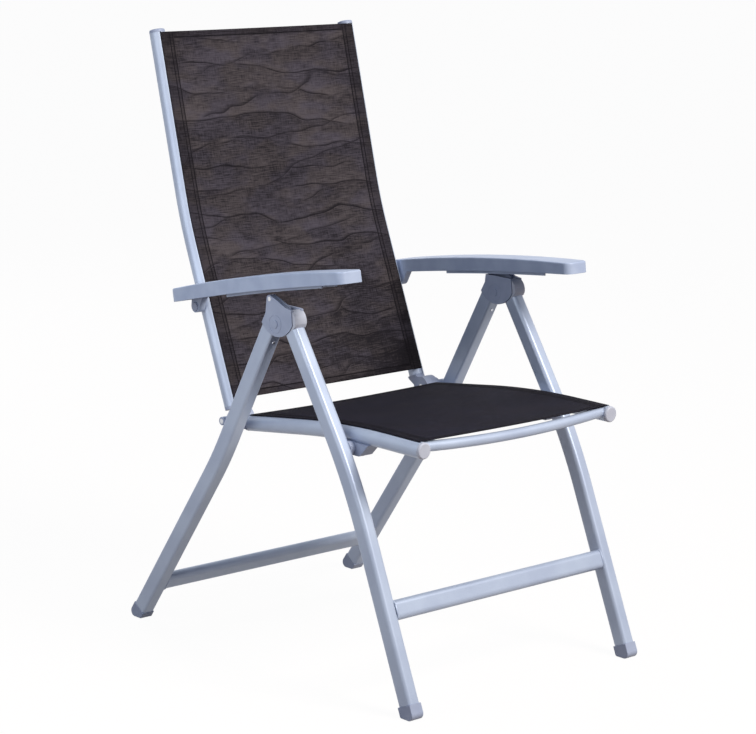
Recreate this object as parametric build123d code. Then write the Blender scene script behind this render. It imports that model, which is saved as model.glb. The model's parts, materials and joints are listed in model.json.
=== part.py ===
from build123d import *
from math import cos, hypot, radians, sin, sqrt, tan
import os

# A reclining garden armchair: aluminium tube legs that fold like scissors, a seat frame that ties
# them, a high back with a stretched sling, and armrests that lock on a pin under a toothed rack.
# Millimetres. The front faces -Y, the sitter's left is +X, Z is up and the floor is z = 0.
# Every side place is a pair (y, z). At the end the chair is moved along Y, so that the origin
# lies on the floor below the middle of its box.

# Across the chair, from the middle plane
leg_x = 260.0
tube_x = 222.0
armrest_inner_x = 237.5
armrest_outer_x = 290.0

# Legs
leg_width = 25.0
leg_depth = 30.0
leg_wall = 1.5
front_leg_corner = 7.0
rear_leg_corner = 4.5
front_leg_top = (1.6, 599.0)
front_leg_knee = (-151.3, 365.6)
front_leg_ground = (-306.9, 0.0)
front_leg_bend = 1000.0
rear_leg_top = (55.6, 606.0)
rear_leg_knee = (194.2, 344.2)
rear_leg_ground = (430.4, 0.0)
rear_leg_bend = 800.0

# Crossbars between the legs
bar_height = 34.0
bar_depth = 20.0
bar_corner = 9.0
bar_wall = 1.5
bar_forward = 4.0
front_bar_z = 165.0
rear_bar_z = 79.0

# Feet
foot_height = 24.0
foot_lip = 0.6
foot_heel_corner = 10.0
foot_toe_corner = 4.0
foot_edge = 1.5
plug_length = 26.0
plug_play = 0.2

# Fits between pieces that move on each other
run_play = 0.05
side_play = 0.4

# Leg hinge, its head and the neck with the ratchet pin
hinge = (38.0, 607.0)
hinge_rivet_radius = 4.0
rivet_head_radius = 7.0
rivet_head_height = 1.4
rivet_rim_share = 0.8
head_width = 27.0
head_plate = 5.0
head_front_high = (-3.0, 636.5)
head_front_low = (-6.0, 611.0)
head_bottom = (36.0, 586.0)
head_rear_low = (73.0, 606.0)
head_waist = (63.5, 623.0)
head_shoulder_high = (42.0, 651.0)
head_shoulder_low = (12.0, 638.8)
head_step_z = 637.5
head_neck_width = 12.0
head_neck_ear = 3.0
head_neck_root = 1.5
head_web_front = (45.0, 628.5)
head_web_top = (46.5, 637.5)
head_web_rear = (64.0, 637.5)
head_web_low = (50.0, 587.0)
head_seam = 0.3
ratchet = (54.0, 648.0)
ratchet_pin_radius = 4.0
ratchet_ear_radius = 7.0
tongue_radius = 19.0
cap_nose_low = (-13.5, 613.0)
cap_nose_mid = (-11.5, 625.0)
cap_nose_high = (0.5, 636.0)
cap_crown = (18.0, 633.0)
nose_play = 1.0
pop_rivet_radius = 3.0
pop_rivet_height = 1.2
pop_rivet_taper = 25.0
pop_rivet_drop = 32.0

# Round tubes of the seat and the back, with a groove at the crown that holds the edge of a sling
tube_radius = 14.0
tube_wall = 1.5
tube_cap_height = 6.0
tube_cap_edge = 3.0
groove_out = 3.4
groove_up = 9.6
groove_radius = 3.2
groove_mouth = 2.6
keder_radius = 2.6

# Seat frame
seat_front = (-275.0, 440.5)
seat_knee = (-87.0, 440.5)
seat_rear = (161.0, 407.3)
seat_bend = 1590.0
seat_pivot = (-117.0, 418.0)
seat_bolt_radius = 4.0
seat_bolt_grip = 5.0
bracket_half = 42.0
bracket_rise = 10.0
bracket_drop = 12.0
bracket_screw_radius = 3.6
bracket_screw_height = 1.4
bracket_screw_spacing = 26.0
seat_bar_radius = 9.0
seat_bar_y = -264.5
seat_bar_z = 444.5
seat_bar_drop = 7.0
seat_bar_bow = 8.0

# Tie: the rear pivot of the seat, which is also the foot of the back
tie = (186.0, 412.0)
tie_pin_radius = 4.5
eye_radius = 18.5
eye_neck_radius = 9.5
eye_split_x = 224.0
collar_length = 5.0
barrel_radius = 13.0
barrel_edge = 2.0
roller_radius = 7.5
roller_inner_x = 249.0
roller_outer_x = 268.0
roller_edge = 1.5

# Back frame
back_bottom = (212.5, 428.0)
back_knee = (341.7, 742.0)
back_top = (430.9, 1066.0)
back_bend = 800.0
back_bar_radius = 9.0
small_bar_wall = 1.3
back_bar_behind = 5.0
back_low_bar_z = 515.0
back_high_bar_z = 1020.0
back_bar_bow = 30.0

# Slings, with their slack at the middle
sling_thickness = 1.4
sling_play = 0.4
sling_clearance = 0.6
seat_sling_front_y = -252.0
seat_sling_rear_y = 158.0
seat_sling_sag = 5.0
back_sling_low_z = 446.0
back_sling_high_z = 1061.0
back_sling_sag = 8.0

# Armrests. Their own frame starts at the rear pivot: s runs forward and t runs up from it.
arm_pivot = (282.9, 599.0)
arm_rise = 7.3
right_arm_lift = 4.7
arm_bolt_radius = 4.0
arm_bolt_inner_x = 219.0
arm_bolt_head_radius = 8.0
arm_bolt_head_height = 2.5
bush_wall = 1.5
bush_flange_radius = 8.5
lug_radius = 11.0
lug_thickness = 13.0
lug_front_s = 34.0
lug_top_t = 30.0
arm_rear_s = -17.0
arm_mid_s = 213.0
arm_front_s = 442.0
arm_bottom_rear_t = 12.2
arm_bottom_mid_t = 16.5
arm_bottom_front_t = 11.8
arm_top_rear_t = 35.6
arm_top_mid_t = 41.8
arm_top_front_t = 32.2
arm_wall = 3.0
arm_corner = 14.0
arm_top_edge = 3.0

# Toothed rack inside the armrest: two cheeks with a row of notches hung between them
rack_rear_s = 125.0
rack_front_s = 377.0
rack_cheek_wall = 3.0
rack_cheek_play = 0.9
rack_cheek_drop = 5.0
rack_cheek_height = 14.0
rack_tip_s = 233.4
rack_tip_t = 27.5
rack_slope = 2.5
rack_roof = 8.0
rack_roof_wall = 1.2
rack_tooth_play = 0.5
rack_notches = 8
rack_pitch = 17.5
rack_first_notch_s = 215.9
rack_notch_width = 11.5
rack_notch_depth = 7.4
rack_notch_round_share = 0.35
rack_end_margin = 13.0

# A length longer than any cut needs
overrun = 60.0

ACROSS = (1, 0, 0)
BACKWARD = (0, 1, 0)


def spot(x, place):
    """A point at a distance from the middle plane and a side place."""
    return Vector(x, place[0], place[1])


def run(start, end):
    """Unit direction between two side places."""
    dy, dz = end[0] - start[0], end[1] - start[1]
    length = hypot(dy, dz)
    return dy / length, dz / length


def along(start, end, distance, offset=0):
    """The side place at a distance from start towards end, offset to the right of that way."""
    dy, dz = run(start, end)
    return (start[0] + dy * distance + dz * offset, start[1] + dz * distance - dy * offset)


def at_height(start, end, z):
    """The side place at height z on the line through two places."""
    share = (z - start[1]) / (end[1] - start[1])
    return (start[0] + (end[0] - start[0]) * share, z)


def slab(face, x_low, x_high):
    """Extrude a face drawn on Y and Z from one x to another."""
    plane = Plane(origin=(x_low, 0, 0), x_dir=BACKWARD, z_dir=ACROSS)
    return extrude(plane * face, amount=x_high - x_low)


def disc(place, radius):
    return Pos(place[0], place[1]) * Circle(radius)


def rod(x_low, x_high, place, radius):
    """A round bar along X."""
    return slab(disc(place, radius), x_low, x_high)


def mirrored(part):
    return mirror(part, about=Plane.YZ)


def outline(*places):
    return make_face(Polyline(*places, close=True))


def bent_path(x, top, knee, bottom, radius):
    return FilletPolyline(spot(x, top), spot(x, knee), spot(x, bottom), radius=radius)


def frame_on(path, place=0):
    """Plane square to a path, whose own X lies across the chair."""
    return Plane(origin=path @ place, x_dir=ACROSS, z_dir=path % place)


def sweep_on(path, section):
    return sweep(frame_on(path) * section, path=path)


def leg_bore(corner, gap):
    """Section of the space inside a leg tube, less a gap all round."""
    inset = (leg_wall + gap) * 2
    return RectangleRounded(leg_width - inset, leg_depth - inset, corner - leg_wall)


# Legs: bent rectangular tubes
def leg(top, knee, ground, bend, corner):
    """One left leg tube from its top to the seam of its foot."""
    path = bent_path(leg_x, top, knee, along(ground, knee, foot_height), bend)
    outside = sweep_on(path, RectangleRounded(leg_width, leg_depth, corner))
    return outside - sweep_on(path, leg_bore(corner, 0))


def front_leg():
    tube = leg(front_leg_top, front_leg_knee, front_leg_ground, front_leg_bend, front_leg_corner)
    tube -= slab(head_seam_disc(nose_play), leg_x - leg_width, leg_x + leg_width)
    return tube - rod(leg_x - leg_width, leg_x, seat_pivot, seat_bolt_radius)


def rear_leg():
    """Rear leg tube, cut at its top to the round outline of the hinge head."""
    tube = leg(rear_leg_top, rear_leg_knee, rear_leg_ground, rear_leg_bend, rear_leg_corner)
    tube -= slab(head_seam_disc(head_seam), leg_x - leg_width, leg_x + leg_width)
    return tube.solids().sort_by(SortBy.VOLUME)[-1]


def foot(knee, ground, corner, heel_side):
    """Plastic foot: a plug in the tube and a rounded block that ends level with the floor."""
    half = leg_depth / 2 + foot_lip
    _, rise = run(ground, knee)
    heel = (ground[0] + heel_side * half / rise, 0)
    toe = (ground[0] - heel_side * half / rise, 0)
    heel_top = along(ground, knee, foot_height, heel_side * half)
    toe_top = along(ground, knee, foot_height, -heel_side * half)
    shape = outline(heel_top, heel, toe, toe_top)
    shape = fillet(shape.vertices().sort_by_distance((heel[0], 0, 0))[0], foot_heel_corner)
    shape = fillet(shape.vertices().sort_by_distance((toe[0], 0, 0))[0], foot_toe_corner)
    half_width = leg_width / 2 + foot_lip
    block = slab(shape, leg_x - half_width, leg_x + half_width)
    block = fillet(block.faces().filter_by(Axis.X).edges(), foot_edge)
    dy, dz = run(ground, knee)
    start = Plane(origin=spot(leg_x, along(ground, knee, foot_height)), x_dir=ACROSS, z_dir=(0, dy, dz))
    return block + extrude(start * leg_bore(corner, plug_play), amount=plug_length)


def crossbar(ground, knee, z, side):
    """Flat oval tube between the inner faces of two legs, set a little towards the front."""
    dy, dz = run(ground, knee)
    centre = along(ground, knee, (z - ground[1]) / dz, side * bar_forward)
    half = leg_x - leg_width / 2
    start = Plane(origin=spot(-half, centre), x_dir=(0, dy, dz), z_dir=ACROSS)
    outside = RectangleRounded(bar_height, bar_depth, bar_corner)
    bore = RectangleRounded(bar_height - bar_wall * 2, bar_depth - bar_wall * 2, bar_corner - bar_wall)
    return extrude(start * (outside - bore), amount=half * 2)


# Leg hinge: the front leg carries a cap with a tongue, the rear leg a head of two plates round it
def head_seam_disc(margin):
    """The round lower outline of the head, grown by a margin."""
    arc = ThreePointArc(head_front_low, head_bottom, head_rear_low)
    return disc((arc.arc_center.X, arc.arc_center.Y), arc.radius + margin)


def head_outline():
    """Side outline of the head's plates: a round hub, a sloping shoulder and the neck's ear."""
    slant = ratchet_ear_radius * sqrt(2) / 2
    ear_rear = (ratchet[0] + ratchet_ear_radius, ratchet[1])
    ear_top = (ratchet[0], ratchet[1] + ratchet_ear_radius)
    ear_front = (ratchet[0] - slant, ratchet[1] + slant)
    return make_face(
        [
            Line(head_front_high, head_front_low),
            ThreePointArc(head_front_low, head_bottom, head_rear_low),
            Line(head_rear_low, head_waist),
            Line(head_waist, ear_rear),
            ThreePointArc(ear_rear, ear_top, ear_front),
            Line(ear_front, head_shoulder_high),
            Line(head_shoulder_high, head_shoulder_low),
            Line(head_shoulder_low, head_front_high),
        ]
    )


def beyond(place):
    """The quarter of a side drawing that lies behind and above a place."""
    return Pos(place[0], place[1]) * Rectangle(overrun * 2, overrun * 2, align=(Align.MIN, Align.MIN))


def hinge_head():
    """Head on the rear leg: two plates, a web behind the hinge and a plug in the tube.

    The inner plate ends at a step. The outer one rises as the neck, with a thin ear beside it.
    """
    low_x = leg_x - head_width / 2
    high_x = leg_x + head_width / 2
    ear_x = high_x - head_neck_width
    inner_plate = head_outline() - beyond((head_front_low[0], head_step_z))
    ear = head_outline() & beyond((head_shoulder_low[0], head_step_z - head_neck_root))
    plates = slab(inner_plate, low_x, low_x + head_plate)
    plates += slab(head_outline(), high_x - head_plate, high_x)
    plates += slab(ear, ear_x, ear_x + head_neck_ear)
    hub_space = disc(hinge, tongue_radius + side_play)
    web = outline(
        head_web_front, head_web_top, head_web_rear, head_waist, head_rear_low, head_web_low, hinge
    )
    head = plates + slab((web & head_outline()) - hub_space, low_x, high_x)
    dy, dz = run(rear_leg_top, rear_leg_knee)
    start = Plane(origin=spot(leg_x, rear_leg_top), x_dir=ACROSS, z_dir=(0, dy, dz))
    plug = extrude(start * leg_bore(rear_leg_corner, plug_play), amount=plug_length * 2)
    head += plug - slab(hub_space, low_x, high_x)
    head -= rod(low_x - overrun, high_x + overrun, hinge, hinge_rivet_radius)
    head -= rod(low_x - overrun, high_x + overrun, ratchet, ratchet_pin_radius)
    return head.solids().sort_by(SortBy.VOLUME)[-1]


def front_cap():
    """Cap on the front leg: a nose as wide as the leg, and a thin tongue round the hinge."""
    half = leg_depth / 2
    seam_rear = along(front_leg_top, front_leg_knee, 0, -half)
    seam_front = along(front_leg_top, front_leg_knee, 0, half)
    hub_low = along(hinge, seam_rear, tongue_radius)
    hub_rear = (hinge[0] + tongue_radius, hinge[1])
    hub_high = (hinge[0], hinge[1] + tongue_radius)
    shape = make_face(
        [
            Line(seam_rear, seam_front),
            Line(seam_front, cap_nose_low),
            ThreePointArc(cap_nose_low, cap_nose_mid, cap_nose_high),
            Line(cap_nose_high, cap_crown),
            Line(cap_crown, hub_high),
            ThreePointArc(hub_high, hub_rear, hub_low),
            Line(hub_low, seam_rear),
        ]
    )
    tongue_half = head_width / 2 - head_plate - side_play
    cap = slab(shape, leg_x - tongue_half, leg_x + tongue_half)
    nose = shape - offset(head_outline(), amount=nose_play)
    cap += slab(nose, leg_x - leg_width / 2, leg_x + leg_width / 2)
    dy, dz = run(front_leg_top, front_leg_knee)
    start = Plane(origin=spot(leg_x, front_leg_top), x_dir=ACROSS, z_dir=(0, dy, dz))
    plug = extrude(start * leg_bore(front_leg_corner, plug_play), amount=plug_length)
    cap += plug - slab(head_seam_disc(nose_play), leg_x - leg_width, leg_x + leg_width)
    return cap - rod(leg_x - overrun, leg_x + overrun, hinge, hinge_rivet_radius)


def hinge_rivet():
    """Rivet through the head and the tongue, with a low head on each side."""
    half = head_width / 2 + run_play
    rivet = rod(leg_x - half, leg_x + half, hinge, hinge_rivet_radius - run_play)
    for side in (-1, 1):
        plane = Plane(origin=spot(leg_x + side * half, hinge), z_dir=(side, 0, 0))
        button = extrude(plane * Circle(rivet_head_radius), amount=rivet_head_height)
        rim = button.edges().filter_by(GeomType.CIRCLE).sort_by(Axis.X)[-1 if side > 0 else 0]
        rivet += fillet(rim, rivet_head_height * rivet_rim_share)
    return rivet


def ratchet_pin():
    """Steel pin across the two ears of the neck."""
    outer_x = leg_x + head_width / 2
    return rod(outer_x - head_neck_width, outer_x, ratchet, ratchet_pin_radius)


def pop_rivet():
    """Blind rivet on the front face of the rear leg, below its head."""
    face = along(rear_leg_top, rear_leg_knee, pop_rivet_drop, leg_depth / 2)
    dy, dz = run(rear_leg_top, rear_leg_knee)
    plane = Plane(origin=spot(leg_x, face), z_dir=(0, dz, -dy))
    return extrude(plane * Circle(pop_rivet_radius), amount=pop_rivet_height, taper=pop_rivet_taper)


# Round tubes. In their section X points to the chair's left and Y away from the sling.
def tube_section():
    """Ring with a round groove behind a narrow mouth that opens beside the crown."""
    ring = Circle(tube_radius) - Circle(tube_radius - tube_wall)
    housing = (Pos(groove_out, -groove_up) * Circle(groove_radius + tube_wall)) & Circle(tube_radius)
    mouth = Rectangle(groove_mouth, tube_radius, align=(Align.CENTER, Align.MAX))
    return ring + housing - Pos(groove_out, -groove_up) * (Circle(groove_radius) + mouth)


def plug_section():
    """Section of a plug in a round tube, with room for the groove's housing."""
    housing = Pos(groove_out, -groove_up) * Circle(groove_radius + tube_wall + plug_play)
    return Circle(tube_radius - tube_wall - plug_play) - housing


def seat_path(x):
    return bent_path(x, seat_front, seat_knee, seat_rear, seat_bend)


def back_path(x):
    return bent_path(x, back_bottom, back_knee, back_top, back_bend)


def tube_cap(path, place, way):
    """Round plastic cap with a soft edge and a plug."""
    frame = frame_on(path, place)
    cap = extrude(frame * Circle(tube_radius), amount=way * tube_cap_height)
    circles = cap.edges().filter_by(GeomType.CIRCLE)
    rim = circles.sort_by_distance(frame.origin + frame.z_dir * way * overrun)[0]
    return fillet(rim, tube_cap_edge) + extrude(frame * plug_section(), amount=-way * plug_length)


def end_fitting(path, place, way, x_low, x_high):
    """Plastic end fitting: a plug, a collar and a flat eye round the tie pin."""
    frame = frame_on(path, place)
    fitting = extrude(frame * plug_section(), amount=-way * plug_length)
    fitting += extrude(frame * Circle(tube_radius), amount=way * collar_length)
    end = (frame.origin.Y, frame.origin.Z)
    neck = make_hull([disc(end, eye_neck_radius).edge(), disc(tie, eye_neck_radius).edge()])
    behind = frame * Pos(0, 0, -way * overrun / 2) * Box(overrun, overrun, overrun)
    fitting += slab(neck, x_low, x_high) - behind
    fitting += rod(x_low, x_high, tie, eye_radius) - behind
    return fitting - rod(x_low - overrun, x_high + overrun, tie, tie_pin_radius + run_play)


def bowed_bar(path_of, middle, drop, bow, radius):
    """Round bar between the two tubes, bowed in the middle and coped to the tubes."""
    ends = [Vector(side * tube_x, middle[0], middle[1]) for side in (-1, 1)]
    path = ThreePointArc(ends[0], Vector(0, middle[0] + bow, middle[1] - drop), ends[1])
    start = Plane(origin=path @ 0, z_dir=path % 0)
    bar = sweep(start * (Circle(radius) - Circle(radius - small_bar_wall)), path=path)
    for x in (-tube_x, tube_x):
        bar -= sweep_on(path_of(x), Circle(tube_radius))
    return bar.solids().sort_by(SortBy.VOLUME)[-1]


def seat_sling_path(x):
    front = (seat_sling_front_y, seat_front[1])
    share = (seat_sling_rear_y - seat_knee[0]) / (seat_rear[0] - seat_knee[0])
    rear = (seat_sling_rear_y, seat_knee[1] + (seat_rear[1] - seat_knee[1]) * share)
    return bent_path(x, front, seat_knee, rear, seat_bend)


def back_sling_path(x):
    low = at_height(back_bottom, back_knee, back_sling_low_z)
    high = at_height(back_knee, back_top, back_sling_high_z)
    return bent_path(x, low, back_knee, high, back_bend)


def sling(path, sag):
    """Fabric over the two tubes' crowns, turned down into the grooves, slack by a sag between."""
    half = tube_x + groove_out
    low = -tube_radius - sling_clearance
    high = low - sling_thickness
    section = make_face(
        [
            ThreePointArc((-half, high), (0, high + sag), (half, high)),
            Line((half, high), (half, low)),
            ThreePointArc((half, low), (0, low + sag), (-half, low)),
            Line((-half, low), (-half, high)),
        ]
    )
    keder_top = -groove_up - keder_radius - sling_play
    edge = Rectangle(sling_thickness, keder_top - high, align=(Align.CENTER, Align.MIN))
    for side in (-1, 1):
        section += Pos(side * half, high) * edge
    return sweep_on(path, section)


def keders(path):
    """The pair of plastic rods that hold a sling's edges in the grooves."""
    left = sweep_on(path, Pos(groove_out, -groove_up) * Circle(keder_radius))
    return left + mirrored(left)


def seat_bracket():
    """Plastic saddle under the seat tube, with a boss that turns on the bolt in the front leg."""
    saddle_shape = outline(
        (seat_pivot[0] - bracket_half, seat_pivot[1] + bracket_rise),
        (seat_pivot[0] - bracket_half / 2, seat_pivot[1] - bracket_drop),
        (seat_pivot[0] + bracket_half / 2, seat_pivot[1] - bracket_drop),
        (seat_pivot[0] + bracket_half, seat_pivot[1] + bracket_rise),
    )
    saddle_shape = fillet(saddle_shape.vertices().sort_by(Axis.Y)[0:2], bracket_drop / 2)
    boss_end = leg_x - leg_width / 2 - side_play
    bracket = slab(saddle_shape, tube_x - tube_radius, tube_x + tube_radius)
    bracket += rod(tube_x, boss_end, seat_pivot, bracket_drop)
    bracket -= sweep_on(seat_path(tube_x), Circle(tube_radius))
    return bracket - rod(0, leg_x, seat_pivot, seat_bolt_radius + run_play)


def seat_bolt():
    """Bolt fixed in the front leg's inner wall, on which the bracket turns."""
    inner_end = tube_x - tube_radius / 2
    return rod(inner_end, leg_x - leg_width / 2 + seat_bolt_grip, seat_pivot, seat_bolt_radius)


def bracket_screws():
    """Two pan-head screws under each bracket."""
    group = Part()
    for side in (-1, 1):
        for step in (-1, 1):
            y = seat_pivot[0] + step * bracket_screw_spacing / 2
            place = (side * tube_x, y, seat_pivot[1] - bracket_drop)
            plane = Plane(origin=place, z_dir=(0, 0, -1))
            group += extrude(plane * Circle(bracket_screw_radius), amount=bracket_screw_height)
    return group


# Tie: one pin on each side carries the two eyes, a barrel and a roller behind the rear leg
def tie_pin():
    return rod(tube_x - tube_radius, roller_outer_x, tie, tie_pin_radius)


def tie_barrel():
    """Plastic barrel on the pin, beside the rear leg's inner face."""
    low = tube_x + tube_radius + side_play
    high = leg_x - leg_width / 2 - side_play
    barrel = rod(low, high, tie, barrel_radius)
    barrel = fillet(barrel.edges().filter_by(GeomType.CIRCLE), barrel_edge)
    return barrel - rod(low, high, tie, tie_pin_radius)


def tie_roller():
    """Plastic roller on the pin, behind the rear leg."""
    roller = rod(roller_inner_x, roller_outer_x, tie, roller_radius)
    roller = fillet(roller.edges().filter_by(GeomType.CIRCLE), roller_edge)
    return roller - rod(roller_inner_x, roller_outer_x, tie, tie_pin_radius)


# Armrest pieces, drawn on s and t from the rear pivot
arm_forward = (0, -cos(radians(arm_rise)), sin(radians(arm_rise)))
arm_upward = (0, sin(radians(arm_rise)), cos(radians(arm_rise)))


def arm_slab(face, x_high, x_low):
    """Extrude a face drawn on s and t from an outer x to an inner x."""
    plane = Plane(origin=spot(x_high, arm_pivot), x_dir=arm_forward, z_dir=(-1, 0, 0))
    return extrude(plane * face, amount=x_high - x_low)


def arm_underside(rear, front, rise):
    """Three places of the armrest's lower edge, raised by a length."""
    places = [(rear, arm_bottom_rear_t), (arm_mid_s, arm_bottom_mid_t), (front, arm_bottom_front_t)]
    return [(s, t + rise) for s, t in places]


def arm_shape(inset, bottom_inset):
    """Side outline of the armrest, arched above and below, drawn in by an inset."""
    rear, front = arm_rear_s + inset, arm_front_s - inset
    low = arm_underside(rear, front, bottom_inset)
    high = [(front, arm_top_front_t), (arm_mid_s, arm_top_mid_t), (rear, arm_top_rear_t)]
    high = [(s, t - inset) for s, t in high]
    return make_face(
        [
            ThreePointArc(*low),
            Line(low[-1], high[0]),
            ThreePointArc(*high),
            Line(high[-1], low[0]),
        ]
    )


def arm_uprights(block):
    """The four end edges of a block extruded from the armrest's side outline."""
    straight = block.edges().filter_by(GeomType.LINE)
    return straight.filter_by(Axis(spot(0, arm_pivot), arm_upward))


def armrest():
    """Hollow moulded armrest, open below, with a lug round the rear pivot."""
    body = arm_slab(arm_shape(0, 0), armrest_outer_x, armrest_inner_x)
    body = fillet(arm_uprights(body), arm_corner)
    top = body.faces().sort_by(Axis(spot(0, arm_pivot), arm_upward))[-1]
    body = fillet(top.edges(), arm_top_edge)
    inside = arm_shape(arm_wall, -overrun / 2)
    hollow = arm_slab(inside, armrest_outer_x - arm_wall, armrest_inner_x + arm_wall)
    body -= fillet(arm_uprights(hollow), arm_corner - arm_wall)
    lug_top = Line((arm_rear_s + arm_corner, lug_top_t), (lug_front_s, lug_top_t))
    lug = make_hull([disc((0, 0), lug_radius).edge(), lug_top])
    body += arm_slab(lug, armrest_inner_x + lug_thickness, armrest_inner_x)
    bore = disc((0, 0), arm_bolt_radius + bush_wall + run_play * 2)
    return body - arm_slab(bore, armrest_outer_x, armrest_inner_x - overrun)


def tip_t(s):
    """Height of the rack's tooth tips."""
    return rack_tip_t - tan(radians(rack_slope)) * (s - rack_tip_s)


def rack_cheek():
    """Side outline of one cheek: a strip along the armrest's lower edge, taller at the teeth."""
    low = arm_underside(arm_rear_s, arm_front_s, -rack_cheek_drop)
    high = [(s, t + rack_cheek_height) for s, t in low]
    ends = [Line(low[-1], high[-1]), Line(high[0], low[0])]
    band = make_face([ThreePointArc(*low), ThreePointArc(*high), *ends])
    length = rack_front_s - rack_rear_s
    stretch = Rectangle(length, overrun * 2, align=(Align.MIN, Align.CENTER))
    cheek = band & (Pos(rack_rear_s, 0) * stretch)
    start, end = rack_teeth_span()
    middle_t = (arm_bottom_rear_t + arm_bottom_mid_t) / 2
    ceiling = [(s, tip_t(s) + rack_roof + rack_roof_wall) for s in (end, start)]
    return cheek + outline((start, middle_t), (end, middle_t), *ceiling)


def rack_teeth_span():
    """First and last s of the row of teeth."""
    start = rack_first_notch_s - rack_end_margin
    return start, rack_first_notch_s + rack_pitch * (rack_notches - 1) + rack_end_margin


def rack():
    """Rack: two cheeks that guide the neck, a roof and a row of teeth between them."""
    inner_half = head_width / 2 + rack_cheek_play
    outer_half = inner_half + rack_cheek_wall
    part = arm_slab(rack_cheek(), leg_x + outer_half, leg_x + inner_half)
    part += arm_slab(rack_cheek(), leg_x - inner_half, leg_x - outer_half)
    start, end = rack_teeth_span()
    ceiling = [(s, tip_t(s) + rack_roof) for s in (start, end)]
    top = [(s, t + rack_roof_wall) for s, t in ceiling]
    part += arm_slab(outline(*ceiling, top[1], top[0]), leg_x + outer_half, leg_x - outer_half)
    teeth = outline((start, tip_t(start)), (end, tip_t(end)), top[1], top[0])
    for index in range(rack_notches):
        s = rack_first_notch_s + rack_pitch * index
        notch = Rectangle(rack_notch_width, rack_notch_depth * 2)
        notch = fillet(notch.vertices(), rack_notch_width * rack_notch_round_share)
        teeth -= Pos(s, tip_t(s)) * notch
    outer_x = leg_x + head_width / 2 - head_plate - rack_tooth_play
    inner_x = leg_x + head_width / 2 - head_neck_width + head_neck_ear + rack_tooth_play
    return part + arm_slab(teeth, outer_x, inner_x)


def arm_bolt():
    """Bolt through the back tube, the bush and the lug, with a domed head outside."""
    end = armrest_inner_x + lug_thickness + side_play
    bolt = rod(arm_bolt_inner_x, end, arm_pivot, arm_bolt_radius)
    button = rod(end, end + arm_bolt_head_height, arm_pivot, arm_bolt_head_radius)
    rim = button.edges().filter_by(GeomType.CIRCLE).sort_by(Axis.X)[-1]
    return bolt + fillet(rim, arm_bolt_head_height * rivet_rim_share)


def arm_bush():
    """Plastic bush in the lug, with a flange against the back tube."""
    low = tube_x + tube_radius + side_play
    flange_end = armrest_inner_x - side_play
    bush = rod(low, armrest_inner_x + lug_thickness, arm_pivot, arm_bolt_radius + bush_wall + run_play)
    bush += rod(low, flange_end, arm_pivot, bush_flange_radius)
    return bush - rod(low, armrest_outer_x, arm_pivot, arm_bolt_radius + run_play)


def drilled_back_tube():
    """Back tube with the hole for the armrest's bolt through its outer wall."""
    tube = sweep_on(back_path(tube_x), tube_section())
    return tube - rod(tube_x, armrest_inner_x, arm_pivot, arm_bolt_radius + run_play)


def lifted(part):
    """Turn a right armrest piece about its pivot to where the photographed one rests."""
    axis = Axis(spot(0, arm_pivot), Vector(-1, 0, 0))
    return part.rotate(axis, right_arm_lift)


left = {
    "front_leg": front_leg(),
    "front_leg_cap": front_cap(),
    "front_foot": foot(front_leg_knee, front_leg_ground, front_leg_corner, -1),
    "hinge_rivet": hinge_rivet(),
    "seat_pivot_bolt": seat_bolt(),
    "rear_leg": rear_leg(),
    "hinge_head": hinge_head(),
    "ratchet_pin": ratchet_pin(),
    "rear_foot": foot(rear_leg_knee, rear_leg_ground, rear_leg_corner, 1),
    "seat_tube": sweep_on(seat_path(tube_x), tube_section()),
    "seat_front_cap": tube_cap(seat_path(tube_x), 0, -1),
    "seat_bracket": seat_bracket(),
    "seat_rear_fitting": end_fitting(
        seat_path(tube_x), 1, 1, eye_split_x + side_play / 2, tube_x + tube_radius
    ),
    "tie_pin": tie_pin(),
    "tie_barrel": tie_barrel(),
    "tie_roller": tie_roller(),
    "back_tube": drilled_back_tube(),
    "back_top_cap": tube_cap(back_path(tube_x), 1, 1),
    "back_foot_fitting": end_fitting(
        back_path(tube_x), 0, -1, tube_x - tube_radius, eye_split_x - side_play / 2
    ),
    "armrest_bolt": arm_bolt(),
    "armrest_bush": arm_bush(),
    "armrest": armrest(),
    "armrest_rack": rack(),
}
nodes = {}
for name, part in left.items():
    nodes[name + "_left"] = part
    other = mirrored(part)
    nodes[name + "_right"] = lifted(other) if name in ("armrest", "armrest_rack") else other
nodes["front_crossbar"] = crossbar(front_leg_ground, front_leg_knee, front_bar_z, -1)
nodes["rear_crossbar"] = crossbar(rear_leg_ground, rear_leg_knee, rear_bar_z, -1)
nodes["leg_pop_rivets"] = pop_rivet() + mirrored(pop_rivet())
front_bar_ends = (seat_bar_y, seat_bar_z)
nodes["seat_front_bar"] = bowed_bar(
    seat_path, front_bar_ends, seat_bar_drop, -seat_bar_bow, seat_bar_radius
)
low_bar_ends = along(at_height(back_bottom, back_knee, back_low_bar_z), back_knee, 0, back_bar_behind)
high_bar_ends = along(at_height(back_knee, back_top, back_high_bar_z), back_top, 0, back_bar_behind)
nodes["back_low_bar"] = bowed_bar(back_path, low_bar_ends, 0, back_bar_bow, back_bar_radius)
nodes["back_high_bar"] = bowed_bar(back_path, high_bar_ends, 0, back_bar_bow, back_bar_radius)
nodes["bracket_screws"] = bracket_screws()
nodes["seat_sling"] = sling(seat_sling_path(0), seat_sling_sag)
nodes["back_sling"] = sling(back_sling_path(0), back_sling_sag)
nodes["seat_sling_rods"] = keders(seat_sling_path(tube_x))
nodes["back_sling_rods"] = keders(back_sling_path(tube_x))

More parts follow.
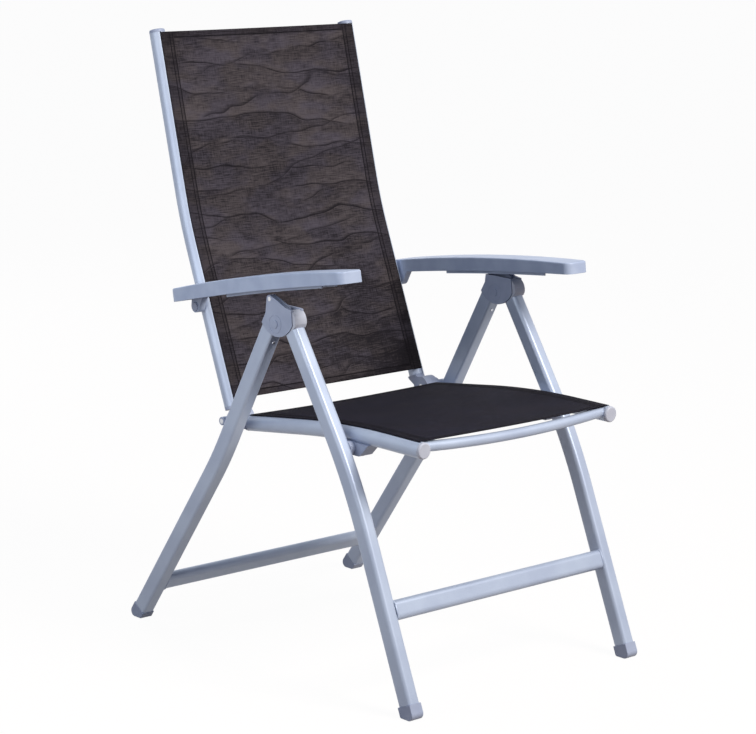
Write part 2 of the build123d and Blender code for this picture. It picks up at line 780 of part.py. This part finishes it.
boxes = [part.bounding_box() for part in nodes.values()]
middle = (min(box.min.Y for box in boxes) + max(box.max.Y for box in boxes)) / 2
os.makedirs("parts", exist_ok=True)
for name, part in nodes.items():
    export_step(Pos(0, -middle, 0) * part, f"parts/{name}.step")
print("moved along Y by", round(-middle, 4))
for name, place in (("leg hinge", hinge), ("seat pivot", seat_pivot), ("tie", tie), ("armrest", arm_pivot)):
    print(name, round(place[0] - middle, 4), place[1])
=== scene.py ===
import json
from math import asin, ceil, cos, pi, radians, sin, tan

import bmesh
import bpy
from mathutils import Matrix, Vector, noise


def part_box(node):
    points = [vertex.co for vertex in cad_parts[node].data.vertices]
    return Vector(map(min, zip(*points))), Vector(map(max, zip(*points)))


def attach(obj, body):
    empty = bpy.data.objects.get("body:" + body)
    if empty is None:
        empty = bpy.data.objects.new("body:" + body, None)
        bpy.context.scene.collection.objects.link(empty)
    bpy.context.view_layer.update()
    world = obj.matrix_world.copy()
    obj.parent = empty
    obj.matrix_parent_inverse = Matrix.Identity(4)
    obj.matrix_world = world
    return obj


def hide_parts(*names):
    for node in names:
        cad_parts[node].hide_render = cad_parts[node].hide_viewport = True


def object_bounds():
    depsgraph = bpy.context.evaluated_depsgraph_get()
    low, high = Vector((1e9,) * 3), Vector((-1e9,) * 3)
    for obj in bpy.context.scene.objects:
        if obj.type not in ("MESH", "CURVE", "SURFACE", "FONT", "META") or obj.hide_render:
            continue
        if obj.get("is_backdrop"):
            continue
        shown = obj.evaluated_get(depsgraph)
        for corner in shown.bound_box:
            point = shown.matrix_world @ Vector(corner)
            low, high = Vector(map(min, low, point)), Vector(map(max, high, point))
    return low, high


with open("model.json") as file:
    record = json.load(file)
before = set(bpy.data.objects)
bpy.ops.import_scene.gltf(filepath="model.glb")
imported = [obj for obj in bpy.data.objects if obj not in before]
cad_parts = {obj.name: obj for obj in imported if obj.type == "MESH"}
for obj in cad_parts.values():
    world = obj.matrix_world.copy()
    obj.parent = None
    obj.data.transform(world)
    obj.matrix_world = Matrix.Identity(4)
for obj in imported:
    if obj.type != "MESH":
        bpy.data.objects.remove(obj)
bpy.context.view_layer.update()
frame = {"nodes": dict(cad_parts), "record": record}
mm = 0.001
nodes = frame["nodes"]
slot_of = {part["node"]: part["material_slot"] for part in frame["record"]["subparts"]}


# Frame tubes: drawn aluminium with a satin silver powder coat. The coat is sprayed on and baked:
# it rounds the edges a little, lies like fine orange peel and holds tiny metal flakes. Its tint
# is a pale grey with a blue cast, a trace darker where the spray lay thin.
def colour(red, green, blue):
    """Linear colour of a tint as the eye reads it, each part from 0 to 255."""
    tint = [part / 255 for part in (red, green, blue)]
    linear = [part / 12.92 if part <= 0.04045 else ((part + 0.055) / 1.055) ** 2.4 for part in tint]
    return (*linear, 1.0)


class Wire:
    """One output of a shader node. Sums and products of wires add Math nodes."""

    def __init__(self, wiring, socket):
        self.wiring = wiring
        self.socket = socket

    def maths(self, operation, first, second=0.0):
        return self.wiring.add("ShaderNodeMath", {"operation": operation}, {0: first, 1: second})

    def __add__(self, other):
        return self.maths("ADD", self, other)

    def __radd__(self, other):
        return self.maths("ADD", other, self)

    def __sub__(self, other):
        return self.maths("SUBTRACT", self, other)

    def __rsub__(self, other):
        return self.maths("SUBTRACT", other, self)

    def __mul__(self, other):
        return self.maths("MULTIPLY", self, other)

    def __rmul__(self, other):
        return self.maths("MULTIPLY", other, self)

    def __gt__(self, other):
        return self.maths("GREATER_THAN", self, other)

    def __abs__(self):
        return self.maths("ABSOLUTE", self)

    def sine(self):
        return self.maths("SINE", self)

    def floor(self):
        return self.maths("FLOOR", self)

    def fraction(self):
        return self.maths("FRACT", self)

    def highest(self, other):
        return self.maths("MAXIMUM", self, other)

    def ramp(self, low, high):
        """Rise smoothly from 0 to 1 as the value goes from low to high."""
        settings = {"interpolation_type": "SMOOTHSTEP"}
        return self.wiring.add("ShaderNodeMapRange", settings, {0: self, 1: low, 2: high})


class Wiring:
    """One tree of shader nodes, filled by a single method."""

    def __init__(self, tree):
        self.tree = tree

    def add(self, kind, settings, inputs, output=0):
        """Add a node of any kind: its settings first, then the values or wires of its sockets."""
        node = self.tree.nodes.new(kind)
        for name, value in settings.items():
            setattr(node, name, value)
        for key, value in inputs.items():
            if isinstance(value, Wire):
                self.tree.links.new(value.socket, node.inputs[key])
            else:
                node.inputs[key].default_value = value
        return Wire(self, node.outputs[output])

    def seen_directly(self):
        """1 for rays from the camera, off a gloss or through glass, and 0 for the rest."""
        rays = self.add("ShaderNodeLightPath", {}, {}).socket.node.outputs
        names = ("Is Camera Ray", "Is Glossy Ray", "Is Transmission Ray")
        camera_ray, gloss_ray, glass_ray = (Wire(self, rays[name]) for name in names)
        return camera_ray + gloss_ray + glass_ray

    def show(self, wire, output_node):
        self.tree.links.new(wire.socket, self.tree.nodes[output_node].inputs["Surface"])


class Finish(Wiring):
    """A procedural material under construction around one Principled shader."""

    def __init__(self, name, roughness, metallic=0.0):
        self.material = bpy.data.materials.new(name)
        self.material.use_nodes = True
        super().__init__(self.material.node_tree)
        self.shader = self.tree.nodes["Principled BSDF"]
        self.shader.inputs["Roughness"].default_value = roughness
        self.shader.inputs["Metallic"].default_value = metallic

    def feed(self, key, wire):
        self.tree.links.new(wire.socket, self.shader.inputs[key])

    def place(self):
        return self.add("ShaderNodeTexCoord", {}, {}, "Object")

    def stretched(self, place, across, along, deep=0.0):
        """Scale a place by a number of cells a metre each way."""
        scale = {0: place, 1: (across, along, deep)}
        return self.add("ShaderNodeVectorMath", {"operation": "MULTIPLY"}, scale)

    def grain(self, place, size, detail=2.0):
        """Noise from 0 to 1 whose blotches have a size in metres."""
        return self.add("ShaderNodeTexNoise", {}, {"Vector": place, "Scale": 1 / size, "Detail": detail})

    def tint(self, amount, dark, light):
        """A colour between two tints."""
        sockets = {"Factor": amount, 6: dark, 7: light}
        return self.add("ShaderNodeMix", {"data_type": "RGBA"}, sockets, 2)

    def relief(self, height, depth, edge=0.0):
        """Feed a bump of a depth in metres, over edges rounded by a radius if one is given."""
        sockets = {"Height": height, "Distance": depth, "Strength": 1.0}
        if edge:
            sockets["Normal"] = self.add("ShaderNodeBevel", {"samples": 6}, {"Radius": edge})
        self.feed("Normal", self.add("ShaderNodeBump", {}, sockets))


def powder_coat(name, thin, full, metallic):
    """Satin powder coat between two tints."""
    coat = Finish(name, roughness=0.4, metallic=metallic)
    place = coat.place()
    cloud = coat.grain(place, 90 * mm, detail=3.0)
    flakes = coat.grain(place, 0.5 * mm, detail=1.0)
    peel = coat.grain(place, 1.6 * mm)
    shade = cloud.ramp(0.3, 0.7) * 0.6 + flakes.ramp(0.35, 0.65) * 0.4
    coat.feed("Base Color", coat.tint(shade, thin, full))
    coat.feed("Roughness", 0.33 + 0.1 * cloud + 0.06 * flakes)
    coat.relief(peel, 0.03 * mm, edge=0.9 * mm)
    return coat.material


def paint(names, material):
    """Give a material to CAD nodes."""
    for name in names:
        nodes[name].material_slots[0].material = material


def in_slot(slot):
    """The CAD nodes of one material slot."""
    return [name for name, own_slot in slot_of.items() if own_slot == slot]


silver = powder_coat("silver_powder_coat", colour(174, 183, 203), colour(194, 203, 219), 0.2)
paint(in_slot("silver_frame"), silver)


# Weld beads: each flat oval crossbar is butted against the inner faces of its two legs and
# welded all round, before the coat goes on. The bead is a row of small overlapping ripples.
bead_radius = 1.5 * mm
bead_ripple_share = 0.18
bead_points = 96
ripples = 32
bar_height = 34 * mm
bar_depth = 20 * mm
bar_corner = 9 * mm
front_leg_rise = (155.6 * mm, 365.6 * mm)
rear_leg_rise = (-236.2 * mm, 344.2 * mm)


def new_piece(name, mesh, material, body):
    """A finished mesh as a smooth piece that rides on a body."""
    mesh.name = name
    mesh.materials.clear()
    mesh.materials.append(material)
    mesh.polygons.foreach_set("use_smooth", [True] * len(mesh.polygons))
    piece = bpy.data.objects.new(name, mesh)
    bpy.context.scene.collection.objects.link(piece)
    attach(piece, body)
    return piece


def weld_bead(name, bar, rise, body):
    """Bead round both ends of a crossbar, whose section leans as its legs rise."""
    low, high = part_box(bar)
    middle = (Vector(low) + Vector(high)) / 2
    tall = Vector((0, *rise)).normalized()
    deep = tall.cross(Vector((1, 0, 0)))
    ring = bmesh.new()
    bmesh.ops.create_circle(ring, segments=bead_points, radius=bar_corner)
    curve = bpy.data.curves.new(name, "CURVE")
    curve.dimensions = "3D"
    curve.bevel_depth = bead_radius
    curve.bevel_resolution = 2
    for end_x in (low[0], high[0]):
        spline = curve.splines.new("POLY")
        spline.points.add(bead_points - 1)
        spline.use_cyclic_u = True
        for index, vertex in enumerate(ring.verts):
            up = vertex.co.x + (bar_height / 2 - bar_corner) * (1 if vertex.co.x > 0 else -1)
            out = vertex.co.y + (bar_depth / 2 - bar_corner) * (1 if vertex.co.y > 0 else -1)
            spot = Vector((end_x, middle.y, middle.z)) + tall * up + deep * out
            swell = bead_ripple_share * sin(2 * pi * index * ripples / bead_points)
            spline.points[index].co = (*spot, 1)
            spline.points[index].radius = 1 + swell
    ring.free()
    drawn = bpy.data.objects.new(name + "_line", curve)
    bpy.context.scene.collection.objects.link(drawn)
    bpy.context.view_layer.update()
    mesh = bpy.data.meshes.new_from_object(drawn)
    bpy.data.objects.remove(drawn)
    new_piece(name, mesh, silver, body)


weld_bead("front_crossbar_welds", "front_crossbar", front_leg_rise, "front_frame")
weld_bead("rear_crossbar_welds", "rear_crossbar", rear_leg_rise, "rear_frame")


# Hinge heads, caps, feet and end fittings: injection-moulded grey plastic, cooled in a mould with
# a fine spark-eroded grain. The same silver grey as the coat but less shiny.
def moulded(name, dark, light, roughness, grain_size, grain_depth):
    """Moulded plastic with an eroded grain and faint flow marks."""
    plastic = Finish(name, roughness)
    place = plastic.place()
    flow = plastic.grain(place, 35 * mm)
    grain = plastic.grain(place, grain_size)
    plastic.feed("Base Color", plastic.tint(flow.ramp(0.3, 0.7) * 0.7 + grain * 0.3, dark, light))
    plastic.feed("Roughness", roughness - 0.06 + 0.12 * grain)
    plastic.relief(grain, grain_depth, edge=0.7 * mm)
    return plastic.material


grey_plastic = moulded("grey_plastic", colour(164, 171, 192), colour(181, 187, 205), 0.5, 0.6 * mm, 0.05 * mm)
paint(in_slot("grey_plastic"), grey_plastic)

# The caps of the front legs and of the seat tubes get a paler grey than the other moulded parts.
pale_plastic = moulded("pale_plastic", colour(196, 196, 205), colour(211, 211, 219), 0.5, 0.6 * mm, 0.05 * mm)
pale_caps = [cap + side for cap in ("front_leg_cap", "seat_front_cap") for side in ("_left", "_right")]
paint(pale_caps, pale_plastic)


# Hub ribs: a low rib is moulded round the rivet on both plates of each hinge head.
hub_rib_distance = 15.5 * mm
hub_rib_radius = 0.6 * mm
hub_rib_steps = 64
rivet_of = {}
for side in ("left", "right"):
    low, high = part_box("hinge_rivet_" + side)
    rivet = (Vector(low) + Vector(high)) / 2
    plate_low, plate_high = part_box("hinge_head_" + side)
    rib = bmesh.new()
    for plate_x in (plate_low[0], plate_high[0]):
        rib_place = Matrix.Translation((plate_x, rivet.y + hub_rib_distance, rivet.z))
        section = bmesh.ops.create_circle(rib, segments=8, radius=hub_rib_radius, matrix=rib_place)["verts"]
        edges = list({edge for vertex in section for edge in vertex.link_edges})
        bmesh.ops.spin(
            rib,
            geom=section + edges,
            cent=(plate_x, rivet.y, rivet.z),
            axis=(1, 0, 0),
            angle=2 * pi,
            steps=hub_rib_steps,
            use_merge=True,
        )
    bmesh.ops.remove_doubles(rib, verts=rib.verts, dist=0.01 * mm)
    bmesh.ops.recalc_face_normals(rib, faces=rib.faces)
    rib_mesh = bpy.data.meshes.new("hinge_rib")
    rib.to_mesh(rib_mesh)
    rib.free()
    new_piece("hinge_head_rib_" + side, rib_mesh, grey_plastic, "rear_frame")
    rivet_of[side] = rivet


# Armrests: one moulded shell each, open below, with the toothed rack fixed inside. The plastic
# is mass-coloured to match the coat and has a slightly coarser grain on top, for grip.
armrest_tints = (colour(173, 183, 206), colour(191, 200, 219))
armrest_plastic = moulded("armrest_plastic", *armrest_tints, 0.44, 0.9 * mm, 0.06 * mm)
paint(in_slot("armrest_plastic"), armrest_plastic)


# Rivets, bolts and pins: zinc-plated steel, turned on a lathe. The plating is bright with faint
# turning rings and cloudy patches. Hinge rivets and armrest bolts have a moulded grey cap.
def zinc_steel():
    steel = Finish("zinc_steel", 0.3, metallic=1.0)
    place = steel.place()
    cloud = steel.grain(place, 6 * mm, detail=3.0)
    scratches = steel.grain(steel.stretched(place, 1200.0, 9000.0, 9000.0), 1.0)
    steel.feed("Base Color", steel.tint(cloud, colour(188, 190, 196), colour(216, 218, 224)))
    steel.feed("Roughness", 0.2 + 0.15 * cloud + 0.1 * scratches)
    steel.relief(scratches, 0.01 * mm, edge=0.4 * mm)
    return steel.material


paint(in_slot("fixing_steel"), zinc_steel())
capped_studs = [stud + side for stud in ("hinge_rivet", "armrest_bolt") for side in ("_left", "_right")]
paint(capped_studs, grey_plastic)


# Keder rods: extruded black plastic, pushed into the hem of a sling and slid down the groove of
# the tube. The sling's edge covers them.
keder_plastic = moulded("keder_plastic", colour(22, 22, 25), colour(34, 34, 38), 0.55, 1.2 * mm, 0.03 * mm)
paint(in_slot("keder_plastic"), keder_plastic)


# Slings: woven polyester mesh coated with plastic, stretched over the crowns of the two tubes and
# held in their grooves by the keder rods. It is folded over at its edges and sewn, twice at the
# sides and once at the ends. Wavy dark lines run across the back. Each starts a patch of random
# tone that painted shade darkens towards the next line, and painted shade also darkens one lower
# corner of the back.
tube_x = 222 * mm
crown_radius = 14.95 * mm
crown_wrap = 4.2 * mm
sling_half = tube_x + crown_wrap
cloth_thickness = 0.6 * mm
hem_thickness = 0.5 * mm
hem_offset = -0.5 * mm
side_hem = 28 * mm
end_hem = 13 * mm
cell = 4 * mm
end_sag_share = 0.35
end_run = 130 * mm
wrinkle_height = 0.9 * mm
wrinkle_across = 5.0
wrinkle_along = 24.0
stitch_pitch = 4.4 * mm
stitch_share = 0.72
thread_radius = 0.42 * mm
stitch_lift = 0.45 * mm
stitch_rows_apart = 7.0 * mm
stitch_inset = 2.5 * mm
hinge_from_datum = 38 * mm
datum_y = rivet_of["left"].y - hinge_from_datum


def square_to(direction):
    """The direction a quarter turn to the left."""
    return Vector((-direction.y, direction.x))


class BentLine:
    """A side line of two straight runs joined by one round bend, measured from its start."""

    def __init__(self, start, knee, end, radius):
        self.start, knee, end = (Vector((datum_y + y, z)) for y, z in (start, knee, end))
        self.first = (knee - self.start).normalized()
        self.last = (end - knee).normalized()
        self.radius = radius
        self.turn = asin(self.first.x * self.last.y - self.first.y * self.last.x)
        cut = radius * tan(abs(self.turn) / 2)
        self.bend_start = knee - self.first * cut
        self.bend_end = knee + self.last * cut
        self.run = (knee - self.start).length - cut
        self.bend = radius * abs(self.turn)
        self.length = self.run + self.bend + (end - knee).length - cut

    def at(self, distance):
        """The side place at a distance, and the direction square to the line, to its left."""
        into_bend = distance - self.run
        if into_bend < 0:
            return self.start + self.first * distance, square_to(self.first)
        if into_bend >= self.bend:
            return self.bend_end + self.last * (into_bend - self.bend), square_to(self.last)
        arm = self.radius if self.turn > 0 else -self.radius
        centre = self.bend_start + square_to(self.first) * arm
        square = square_to(Matrix.Rotation(into_bend / arm, 2) @ self.first)
        return centre - square * arm, square


class Sling:
    """A cloth stretched over two tubes, slack by a sag along its middle that fades at its ends."""

    def __init__(self, line, sag, wrinkle, seed):
        self.line = line
        self.sag = sag
        self.wrinkle = wrinkle
        self.seed = seed

    def spot(self, across, along, offset):
        """The point of the cloth at a place of its flat pattern."""
        place, square = self.line.at(along)
        share = min(abs(across) / tube_x, 1)
        from_end = min(along, self.line.length - along) / end_run
        slack = end_sag_share + (1 - end_sag_share) * min(from_end, 1) ** 0.5
        ripple = noise.noise(Vector((across * wrinkle_across, along * wrinkle_along, self.seed)))
        dip = self.sag * slack * (1 - share ** 2) - self.wrinkle * ripple * (1 - share ** 4)
        angle = max(abs(across) - tube_x, 0) / crown_radius
        side = 1 if across > 0 else -1
        x = across if angle == 0 else side * (tube_x + (crown_radius + offset) * sin(angle))
        rise = (crown_radius + offset) * cos(angle) - dip
        return Vector((x, place.x + square.x * rise, place.y + square.y * rise))

    def strips(self, spans, offset):
        """Mesh of flat strips, each from a low to a high corner of the pattern, laid on the cloth."""
        cloth = bmesh.new()
        for low, high in spans:
            width, length = high[0] - low[0], high[1] - low[1]
            columns = max(2, ceil(width / cell))
            rows = max(2, ceil(length / cell))
            grid = bmesh.ops.create_grid(cloth, x_segments=columns, y_segments=rows, size=1)
            for vertex in grid["verts"]:
                across = low[0] + width * (vertex.co.x + 1) / 2
                along = low[1] + length * (vertex.co.y + 1) / 2
                vertex.co = (across, along, 0)
        pattern = cloth.loops.layers.uv.new("pattern")
        for face in cloth.faces:
            for loop in face.loops:
                loop[pattern].uv = loop.vert.co.xy
        for vertex in cloth.verts:
            vertex.co = self.spot(vertex.co.x, vertex.co.y, offset)
        mesh = bpy.data.meshes.new("cloth")
        cloth.to_mesh(mesh)
        cloth.free()
        return mesh

    def stitches(self, rows):
        """Mesh of short rounded stitches along rows of the pattern."""
        grain = bmesh.new()
        bmesh.ops.create_uvsphere(grain, u_segments=6, v_segments=4, radius=1)
        stitch = bpy.data.meshes.new("stitch")
        grain.to_mesh(stitch)
        grain.free()
        seam = bmesh.new()
        for start, end in rows:
            start, end = Vector(start), Vector(end)
            count = round((end - start).length / stitch_pitch)
            half_step = (end - start) / count * stitch_share / 2
            for index in range(count):
                middle = start.lerp(end, (index + 0.5) / count)
                tail = self.spot(*(middle - half_step), stitch_lift)
                head = self.spot(*(middle + half_step), stitch_lift)
                turn = (head - tail).to_track_quat("Z", "Y").to_matrix().to_4x4()
                size = Matrix.Diagonal((thread_radius, thread_radius, (head - tail).length / 2, 1))
                stand = Matrix.Translation((tail + head) / 2) @ turn @ size
                stitch.transform(stand)
                seam.from_mesh(stitch)
                stitch.transform(stand.inverted())
        mesh = bpy.data.meshes.new("stitches")
        seam.to_mesh(mesh)
        seam.free()
        return mesh


# The cloth's pattern, in cells a metre across and along, and its wavy lines: how many a metre,
# how they slant, how far they swing and where their noise starts.
yarn_pitch = 1.1 * mm
cross_streaks = (45.0, 520.0)
long_streaks = (520.0, 60.0)
cloud_cells = (7.0, 11.0)
hue_cells = (11.0, 20.0)
swing_cells = (5.0, 8.0)
break_cells = (7.0, 20.0)
first_waves = (22.0, 1.6, 2.0, 3.1)
second_waves = (15.0, -2.6, 1.8, 8.7)
seam_core = 0.5 * mm
seam_edge = 1.6 * mm


def woven(name, dark, warm, cool, line_tint, length, wave_families):
    """Coated mesh: yarn by yarn weave, streaks of yarn tone, dark hems, wavy lines, and painted shade along
    the lines and in one corner.
    """
    cloth = Finish(name, 0.72)
    cloth.shader.inputs["Specular IOR Level"].default_value = 0.08
    pattern = cloth.add("ShaderNodeUVMap", {"uv_map": "pattern"}, {})
    across = cloth.add("ShaderNodeSeparateXYZ", {}, {0: pattern})
    along = Wire(cloth, across.socket.node.outputs[1])
    warp = (across * (pi / yarn_pitch)).sine()
    weft = (along * (pi / yarn_pitch)).sine()
    over = (warp * weft) > 0.0
    weave = over * abs(warp) + (1 - over) * abs(weft)
    cross_streak = cloth.grain(cloth.stretched(pattern, *cross_streaks), 1.0, detail=3.0)
    long_streak = cloth.grain(cloth.stretched(pattern, *long_streaks), 1.0, detail=3.0)
    cloud = cloth.grain(cloth.stretched(pattern, *cloud_cells), 1.0, detail=3.0)

    def waves(per_metre, slant, swing, seed):
        """Wavy lines across the cloth, and the patch that starts at each of them: a random tone per band,
        with painted shade that fades it towards the next line.
        """
        moved = cloth.add("ShaderNodeVectorMath", {"operation": "ADD"}, {0: pattern, 1: (seed, seed, 0)})
        bend = cloth.grain(cloth.stretched(moved, *swing_cells), 1.0)
        value = along * per_metre + across * slant + bend * swing
        above = value.fraction()
        band = cloth.add("ShaderNodeTexWhiteNoise", {"noise_dimensions": "1D"}, {"W": value.floor() + seed})
        broken = cloth.grain(cloth.stretched(moved, *break_cells), 1.0).ramp(0.42, 0.52)
        rim = (1 - above.ramp(0.0, 0.13)) * above.ramp(0.0, 0.02) * broken
        # The tone is random per band. Its fall from the line to the next one is painted wrinkle shade.
        return rim, band * (1 - above) * broken

    rims = tone_and_painted_shade = corner = 0.0
    if wave_families:
        (first_rim, first_tone_and_shade), (second_rim, second_tone_and_shade) = (waves(*family) for family in wave_families)
        rims = first_rim.highest(second_rim * 0.8)
        tone_and_painted_shade = first_tone_and_shade.highest(second_tone_and_shade)
        # Painted shade: the back darkens towards one lower corner, broken up by the cloud noise.
        corner = across.ramp(-0.02, 0.16) * (1 - along.ramp(0.04, 0.3)) * cloud.ramp(0.3, 0.6)
    shade = 0.32 + (tone_and_painted_shade - corner) * 0.5 + 0.6 * (cloud - 0.5)
    shade = shade + 1.4 * (cross_streak - 0.5) + 0.8 * (long_streak - 0.5) + 0.25 * (weave - 0.6)
    hue = cloth.grain(cloth.stretched(pattern, *hue_cells), 1.0).ramp(0.4, 0.6)
    plain = cloth.tint(shade.ramp(-0.1, 1.0), dark, cloth.tint(hue, warm, cool))

    edge = sling_half - abs(across)
    end = length / 2 - abs(along - length / 2)
    between_hems = edge.ramp(side_hem - 1 * mm, side_hem)
    inside = between_hems * end.ramp(end_hem - 1 * mm, end_hem)
    seams = (1 - abs(end - (end_hem - stitch_inset)).ramp(seam_core, seam_edge)) * between_hems
    for row in (side_hem - stitch_inset, side_hem - stitch_inset - stitch_rows_apart):
        seams = seams + (1 - abs(edge - row).ramp(seam_core, seam_edge))
    marks = ((1 - inside) * 0.4).highest(rims).highest(seams * 0.95)
    cloth.feed("Base Color", cloth.tint(marks, plain, line_tint))
    cloth.feed("Roughness", 0.62 + 0.2 * weave)
    cloth.relief(weave * 0.5 - rims * 0.5 - seams + tone_and_painted_shade * 0.15, 0.4 * mm)
    return cloth.material


def sew_sling(name, sling, fabric, thread, body, node):
    """Cloth, hems and stitches of one sling, on the body that carries its tubes."""
    length = sling.line.length
    inner = sling_half - side_hem
    whole = ((-sling_half, 0), (sling_half, length))
    sides = [((side, 0), (side + side_hem, length)) for side in (-sling_half, inner)]
    ends = [((-inner, 0), (inner, end_hem)), ((-inner, length - end_hem), (inner, length))]
    for part, spans, offset, thickness in (
        ("_cloth", [whole], 0.0, cloth_thickness),
        ("_side_hems", sides, hem_offset, hem_thickness),
        ("_end_hems", ends, hem_offset, hem_thickness),
    ):
        piece = new_piece(name + part, sling.strips(spans, offset), fabric, body)
        wall = piece.modifiers.new("wall", "SOLIDIFY")
        wall.thickness = thickness
        wall.offset = 0
    rows = []
    for side in (-1, 1):
        for row in (0, 1):
            across = side * (inner + stitch_inset + row * stitch_rows_apart)
            rows.append(((across, stitch_inset), (across, length - stitch_inset)))
    for along in (end_hem - stitch_inset, length - end_hem + stitch_inset):
        rows.append(((-inner, along), (inner, along)))
    new_piece(name + "_stitches", sling.stitches(rows), thread, body)
    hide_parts(node)


def thread_finish(name, dark, light):
    """Twisted polyester thread."""
    thread = Finish(name, 0.6)
    thread.shader.inputs["Specular IOR Level"].default_value = 0.1
    strand = thread.grain(thread.place(), 0.7 * mm)
    thread.feed("Base Color", thread.tint(strand, dark, light))
    thread.relief(strand, 0.1 * mm)
    return thread.material


black_thread = thread_finish("black_thread", colour(10, 8, 11), colour(26, 22, 27))
back_line = BentLine((0.2162, 0.437), (0.3417, 0.742), (0.4306, 1.065), 0.8)
back_tints = (colour(31, 27, 31), colour(92, 83, 83), colour(87, 80, 87), colour(18, 14, 19))
back_fabric = woven("back_mesh", *back_tints, back_line.length, (first_waves, second_waves))
back_sling = Sling(back_line, 8 * mm, wrinkle_height, 3.0)
sew_sling("back", back_sling, back_fabric, black_thread, "back", "back_sling")

seat_line = BentLine((-0.271, 0.4405), (-0.087, 0.4405), (0.158, 0.4077), 1.59)
seat_tints = (colour(18, 16, 24), colour(44, 40, 52), colour(41, 39, 54), colour(12, 9, 15))
seat_fabric = woven("seat_mesh", *seat_tints, seat_line.length, ())
seat_sling = Sling(seat_line, 7 * mm, wrinkle_height / 2, 8.0)
sew_sling("seat", seat_sling, seat_fabric, black_thread, "seat", "seat_sling")


# Stage: a plain pale floor that runs to the horizon and a white surround. To the camera both are
# white; to the chair they are a soft, slightly blue daylight room with a darker floor.
floor_size = 60.0
stage_mesh = bmesh.new()
bmesh.ops.create_grid(stage_mesh, x_segments=1, y_segments=1, size=floor_size / 2)
floor_mesh = bpy.data.meshes.new("floor")
stage_mesh.to_mesh(floor_mesh)
stage_mesh.free()
floor = bpy.data.objects.new("floor", floor_mesh)
bpy.context.scene.collection.objects.link(floor)
floor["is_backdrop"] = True

white = (1.0, 1.0, 1.0, 1.0)
floor_paint = Finish("floor_paint", 0.9)
floor_paint.shader.inputs["Base Color"].default_value = colour(132, 120, 114)
floor_paint.shader.inputs["Specular IOR Level"].default_value = 0.1
floor_shader = Wire(floor_paint, floor_paint.shader.outputs[0])
floor_glow = floor_paint.add("ShaderNodeEmission", {}, {"Color": white, "Strength": 1.2})
glow_share = floor_paint.seen_directly() * 0.8
floor_paint.show(
    floor_paint.add("ShaderNodeMixShader", {}, {0: glow_share, 1: floor_shader, 2: floor_glow}),
    "Material Output",
)
floor_mesh.materials.append(floor_paint.material)

world = bpy.data.worlds.new("studio")
bpy.context.scene.world = world
world.use_nodes = True
sky = Wiring(world.node_tree)
sky.tree.nodes.remove(sky.tree.nodes["Background"])
daylight = sky.add("ShaderNodeBackground", {}, {"Color": (0.38, 0.58, 1.0, 1.0), "Strength": 0.21})
backdrop = sky.add("ShaderNodeBackground", {}, {"Color": white, "Strength": 1.0})
sky.show(
    sky.add("ShaderNodeMixShader", {}, {0: sky.seen_directly(), 1: daylight, 2: backdrop}),
    "World Output",
)


# Lamps: a soft key high in front, a small cool one close to the sitter's right, which fades across
# the chair, and a weak one behind. The lamps themselves don't show.
chair_middle = Vector((0, 0, 0.55))


def soft_lamp(name, place, size, level, tint):
    """Square lamp aimed at the chair, with a level at which 1 lights a facing surface fully."""
    lamp = bpy.data.lights.new(name, "AREA")
    lamp.size = size
    aim = chair_middle - Vector(place)
    lamp.energy = level * pi ** 2 * aim.length_squared
    lamp.color = tint
    stand = bpy.data.objects.new(name, lamp)
    turn = aim.to_track_quat("-Z", "Y").to_matrix().to_4x4()
    stand.matrix_world = Matrix.Translation(place) @ turn
    stand.visible_camera = False
    bpy.context.scene.collection.objects.link(stand)


soft_lamp("key", (0.7, -2.9, 3.1), 1.5, 0.98, (1.0, 0.99, 0.97))
soft_lamp("side", (-1.05, 0.0, 0.9), 0.8, 0.35, (0.88, 0.94, 1.0))
soft_lamp("rear", (0.9, 3.2, 2.6), 1.6, 0.25, (0.95, 0.98, 1.0))


# Camera: the photograph's view, found from pairs of points that mirror each other on the chair.
photo_width = 756
focal_pixels = 2582.2
azimuth = radians(-42.51)
elevation = radians(11.68)
roll = radians(1.132)
sensor_width = 36.0
backward = Vector((sin(azimuth) * cos(elevation), -cos(azimuth) * cos(elevation), sin(elevation)))
level_right = Vector((cos(azimuth), sin(azimuth), 0))
level_up = backward.cross(level_right)
right = level_right * cos(roll) + level_up * sin(roll)
upward = level_up * cos(roll) - level_right * sin(roll)
camera_data = bpy.data.cameras.new("camera")
camera_data.lens = focal_pixels / photo_width * sensor_width
camera_data.sensor_width = sensor_width
camera_data.clip_end = 100.0
camera = bpy.data.objects.new("camera", camera_data)
camera_place = Vector((-3.0292, datum_y - 3.2267, 1.4196))
camera_turn = Matrix((right, upward, backward)).transposed().to_4x4()
camera.matrix_world = Matrix.Translation(camera_place) @ camera_turn
bpy.context.scene.collection.objects.link(camera)
bpy.context.scene.camera = camera
bpy.context.scene.view_settings.view_transform = "Standard"

low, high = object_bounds()
